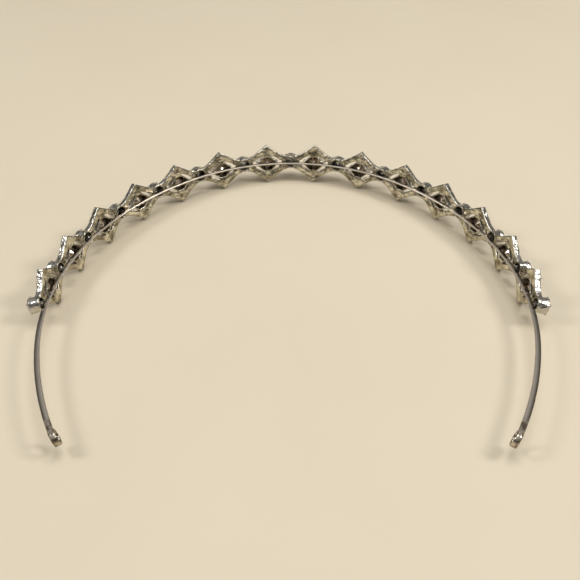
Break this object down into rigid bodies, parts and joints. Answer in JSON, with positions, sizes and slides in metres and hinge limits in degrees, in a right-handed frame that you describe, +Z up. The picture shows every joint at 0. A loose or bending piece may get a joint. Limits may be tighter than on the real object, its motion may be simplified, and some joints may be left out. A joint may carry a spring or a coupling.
{
  "type": "tiara",
  "caption": "Arched crystal headpiece: openwork lozenge castings set with cut stones stand on a thin springy steel strip whose bare legs end in rolled eyes",
  "frame": {"origin": "middle of the arch's bounding box in X and Y, on the surface it lies on", "axes": "+X across the arch from the left eye to the right, +Y from the rolled eyes towards the crown of the arch, +Z up from the surface the arch lies on"},
  "size_m": [0.134, 0.117, 0.0114],
  "materials": {
    "strip_steel": "satin, plated",
    "plated_castings": "bright plated casting, duller at the back",
    "centre_crystals": "clear, faceted",
    "round_crystals": "clear, faceted",
    "small_crystals": "clear, faceted"
  },
  "bodies": {
    "root": {"headband": "strip_steel", "middle_cup": "plated_castings", "middle_round_stone": "round_crystals", "rail_stones": "small_crystals", "left_link_1": "plated_castings", "left_link_2": "plated_castings", "left_link_3": "plated_castings", "left_link_4": "plated_castings", "left_link_5": "plated_castings", "left_link_6": "plated_castings", "left_link_7": "plated_castings", "right_link_1": "plated_castings", "right_link_2": "plated_castings", "right_link_3": "plated_castings", "right_link_4": "plated_castings", "right_link_5": "plated_castings", "right_link_6": "plated_castings", "right_link_7": "plated_castings", "left_centre_stone_1": "centre_crystals", "left_centre_stone_2": "centre_crystals", "left_centre_stone_3": "centre_crystals", "left_centre_stone_4": "centre_crystals", "left_centre_stone_5": "centre_crystals", "left_centre_stone_6": "centre_crystals", "left_centre_stone_7": "centre_crystals", "right_centre_stone_1": "centre_crystals", "right_centre_stone_2": "centre_crystals", "right_centre_stone_3": "centre_crystals", "right_centre_stone_4": "centre_crystals", "right_centre_stone_5": "centre_crystals", "right_centre_stone_6": "centre_crystals", "right_centre_stone_7": "centre_crystals", "left_round_stone_1": "round_crystals", "left_round_stone_2": "round_crystals", "left_round_stone_3": "round_crystals", "left_round_stone_4": "round_crystals", "left_round_stone_5": "round_crystals", "left_round_stone_6": "round_crystals", "left_round_stone_7": "round_crystals", "right_round_stone_1": "round_crystals", "right_round_stone_2": "round_crystals", "right_round_stone_3": "round_crystals", "right_round_stone_4": "round_crystals", "right_round_stone_5": "round_crystals", "right_round_stone_6": "round_crystals", "right_round_stone_7": "round_crystals"}
  },
  "joints": []
}
